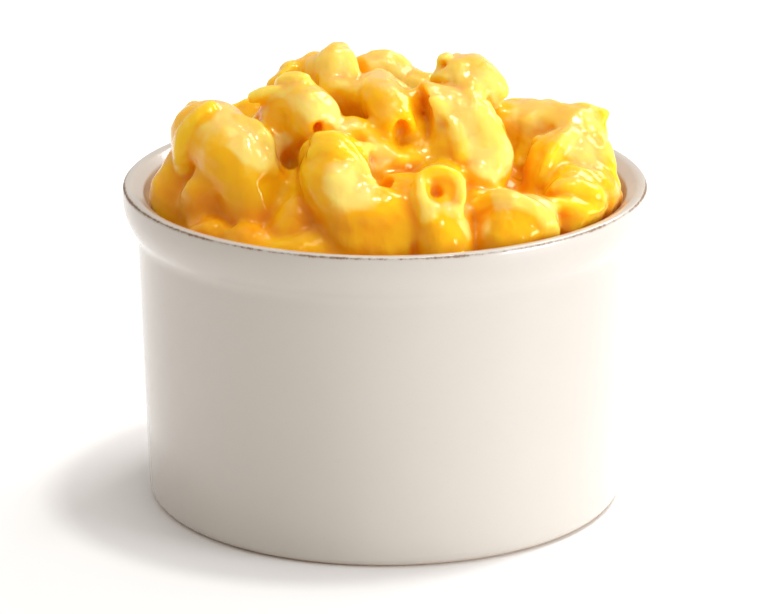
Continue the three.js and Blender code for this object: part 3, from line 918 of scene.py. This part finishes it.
# How deep sauce lies where it hides the pasta, how far past a shred's ribbon its own colour shows and
# over what width it fades, how much golden sauce outdoes the pale, and how far a flank leans over.
SAUCE_HIDES = 1.6
SHRED_SHOWS = 0.4
SHRED_FADES = 0.5
GOLDEN_OVER_PALE = 1.5
STEEPEST_FLANK = 1.5
pasta_depths = distances_to(elbows, heap_vertices)
tone_draw = np.random.default_rng(TONE_SEED).uniform(0, 1, len(elbows))
tone_weights = np.exp(-np.maximum(pasta_depths, -TONE_DEPTH) / TONE_REACH)
shred_depth = distances_to(shreds, heap_vertices).min(0)
pale_and_lit = np.maximum(nearness(heap_vertices, PALE_AND_LIT_SAUCE), LEAST_PALE)
pale_and_lit -= GOLDEN_OVER_PALE * np.maximum(nearness(heap_vertices, GOLDEN_SAUCE), 0)
heap_attributes = {
    "crevice": crevice,
    "sauce": np.clip(pasta_depths.min(0) / SAUCE_HIDES, 0, 1),
    "shred": np.clip((RIBBON_SPREAD + SHRED_SHOWS - shred_depth) / SHRED_FADES, 0, 1),
    "tone": tone_draw @ tone_weights / tone_weights.sum(0),
    # Painted light as well as milkier sauce: paler in the listed places.
    "pale": pale_and_lit,
    # Painted shade: listed patches that go orange.
    "shade_patch": np.maximum(nearness(heap_vertices, SHADE_PATCHES), 0),
    # Painted light and shade: colour that changes with how far the skin leans from facing up.
    "flank": np.clip(1 - skin_normals[:, 2], 0, STEEPEST_FLANK) / STEEPEST_FLANK,
    # Painted shade: orange that grows lower down.
    "low_shade": np.clip((LOW_SHADE_TOP_Z - heap_vertices[:, 2]) / LOW_SHADE_DEPTH, 0, 1),
}


# The sauce's colours. As painted light and shade, skin that faces up is a little darker than skin on a
# flank.
GOLDEN = (0.87, 0.52, 0.012, 1)
AMBER = (0.86, 0.43, 0.001, 1)
ORANGE = (0.85, 0.33, 0.006, 1)
CREAM_ON_TOP = (0.86, 0.51, 0.125, 1)
CREAM_ON_FLANK = (0.87, 0.70, 0.19, 1)
STRAW = (0.87, 0.56, 0.02, 1)
LEMON_ON_TOP = (0.86, 0.50, 0.07, 1)
LEMON_ON_FLANK = (0.87, 0.62, 0.11, 1)


def cheese_sauce_material():
    """Cheddar sauce over pasta: pale where milky and with painted light, golden on flanks, orange painted
    shade in corners.
    """
    tree = MaterialTree(
        "cheese_sauce",
        {
            "IOR": 1.45,
            "Specular Tint": (1.0, 0.87, 0.48, 1),
            "Subsurface Weight": 1.0,
            "Subsurface Scale": 0.0045,
            "Subsurface Radius": (1.0, 0.85, 0.25),
        },
    )
    crevice = tree.attribute("crevice")
    sauce = tree.attribute("sauce")
    shred = tree.attribute("shred")
    flank = tree.attribute("flank")
    low_shade = tree.attribute("low_shade")
    pale = tree.attribute("pale")
    shade_patch = tree.attribute("shade_patch")
    tone = tree.attribute("tone")
    clouds = tree.noise(6, detail=4.0)
    # Painted light and shade: less milky in corners, on flanks and low down, more where light is painted
    # on.
    milk_and_light = pale + clouds * 1.2 + tone * 0.3 - flank * 0.3 - crevice * 0.7 - low_shade * 0.3
    milky_and_lit = tree.between(milk_and_light, 0.2, 0.7)
    # Painted shade, with some real depth of sauce: orange grows in corners, in listed patches, low down and
    # on flanks.
    depth = crevice + shade_patch * 0.9 + low_shade * 0.8 + flank * 0.4 + sauce * 0.2 + clouds * 0.4
    deep = tree.between(depth, 0.6, 2.0)
    golden = tree.mix(clouds, GOLDEN, AMBER)
    upright = tree.between(flank, 0.0, 0.3)
    cream = tree.mix(upright, CREAM_ON_TOP, CREAM_ON_FLANK)
    creamy = tree.mix(milky_and_lit, golden, cream)
    shaded = tree.mix(deep, creamy, ORANGE)
    lemon = tree.mix(upright, LEMON_ON_TOP, LEMON_ON_FLANK)
    strand = tree.mix(milky_and_lit, STRAW, lemon)
    tree.feed("Base Color", tree.mix(shred * 0.75, shaded, strand))
    tree.feed("Roughness", 0.03 + clouds * 0.07)
    rippled = tree.between(tree.noise(6, detail=1.0), 0.54, 0.68)
    ripples = tree.noise(1.5, detail=1.0, stretch=(1, 1, 3.5)) * (0.1 + rippled + shred * 0.25)
    film = tree.bump(ripples, 0.25)
    coat = tree.bump(milky_and_lit, 0.10, under=film)
    tree.feed("Normal", tree.bump(tree.noise(4, detail=1.0), 0.3, under=coat))
    return tree.material


sauce = cheese_sauce_material()
make_piece("macaroni", heap_vertices, heap_faces.tolist(), sauce, "macaroni", heap_attributes)


# ------------------------------------------------------------------------------------------------
# The sauce below the elbows: the same cheddar sauce, which has run down between them. It fills the
# ramekin to its floor, and its flat top is hidden a little way inside the heap.
# ------------------------------------------------------------------------------------------------

CORE_TOP_Z = GRID_LOW[2] + 2.5
CORE_SEGMENTS = 96

core_outline = rounded_outline(
    [
        (0, FLOOR_Z + WALL_GAP, 0),
        (INSIDE_RADIUS - WALL_GAP, FLOOR_Z + WALL_GAP, 3.5),
        (INSIDE_RADIUS - WALL_GAP, CORE_TOP_Z, 0.5),
        (0, CORE_TOP_Z, 0),
    ]
)
core_vertices, core_faces = turned(core_outline, CORE_SEGMENTS)
make_piece("sauce_below", core_vertices, core_faces, sauce, "macaroni")


# ------------------------------------------------------------------------------------------------
# The table, the lights and the camera: a white table top in a white room, two lights high on the
# right, one behind and one low on the right, and a long lens that looks a little down on the dish.
# ------------------------------------------------------------------------------------------------

# Lengths here are metres, but the lens is in millimetres. The camera looks down by some radians.
TABLE_HALF = 4
TABLE_WHITE = (0.96, 0.95, 0.95, 1)
TABLE_WARM_WHITE = (0.97, 0.965, 0.96, 1)
ROOM_WHITE = (1.0, 0.95, 0.90, 1)
ROOM_STRENGTH = 0.6
LIT_PLACE = (0, 0, 0.04)
CAMERA_PLACE = (-0.000175, -0.750, 0.2777)
CAMERA_DOWN = 0.315
CAMERA_LENS = 208.9

floor_mesh = bpy.data.meshes.new("table_top")
corner_signs = [(-1, -1), (1, -1), (1, 1), (-1, 1)]
table_corners = [(TABLE_HALF * x, TABLE_HALF * y, 0) for x, y in corner_signs]
floor_mesh.from_pydata(table_corners, [], [(0, 1, 2, 3)])
table_tree = MaterialTree("white_table", {"Roughness": 0.6, "Specular IOR Level": 0.2})
table_tone = table_tree.noise(180, detail=2.0)
table_tree.feed("Base Color", table_tree.mix(table_tone, TABLE_WHITE, TABLE_WARM_WHITE))
floor_mesh.materials.append(table_tree.material)
floor = bpy.data.objects.new("table_top", floor_mesh)
bpy.context.scene.collection.objects.link(floor)


def soft_light(name, place, size, power, color=(1, 1, 1)):
    """A square area light that faces the middle of the dish."""
    light = bpy.data.lights.new(name, "AREA")
    light.size = size
    light.energy = power
    light.color = color
    lamp = bpy.data.objects.new(name, light)
    lamp.location = place
    lamp.rotation_euler = (Vector(LIT_PLACE) - Vector(place)).to_track_quat("-Z", "Y").to_euler()
    bpy.context.scene.collection.objects.link(lamp)


soft_light("key", (0.30, 0.05, 1.50), 0.16, 5.4)
soft_light("high", (0.15, 0.0, 1.60), 0.7, 4.8)
soft_light("back", (0.50, 0.60, 0.80), 0.5, 5.2)
soft_light("side", (0.85, -0.40, 0.12), 0.45, 9.0, (0.97, 1.0, 1.04))

world = bpy.data.worlds.new("white_room")
world.use_nodes = True
room = world.node_tree.nodes["Background"]
room.inputs["Color"].default_value = ROOM_WHITE
room.inputs["Strength"].default_value = ROOM_STRENGTH
bpy.context.scene.world = world
bpy.context.scene.view_settings.view_transform = "Standard"

lens = bpy.data.cameras.new("camera")
lens.lens = CAMERA_LENS
lens.sensor_width = 36
camera = bpy.data.objects.new("camera", lens)
camera.location = CAMERA_PLACE
camera.rotation_euler = (math.pi / 2 - CAMERA_DOWN, 0, 0)
bpy.context.scene.collection.objects.link(camera)
bpy.context.scene.camera = camera
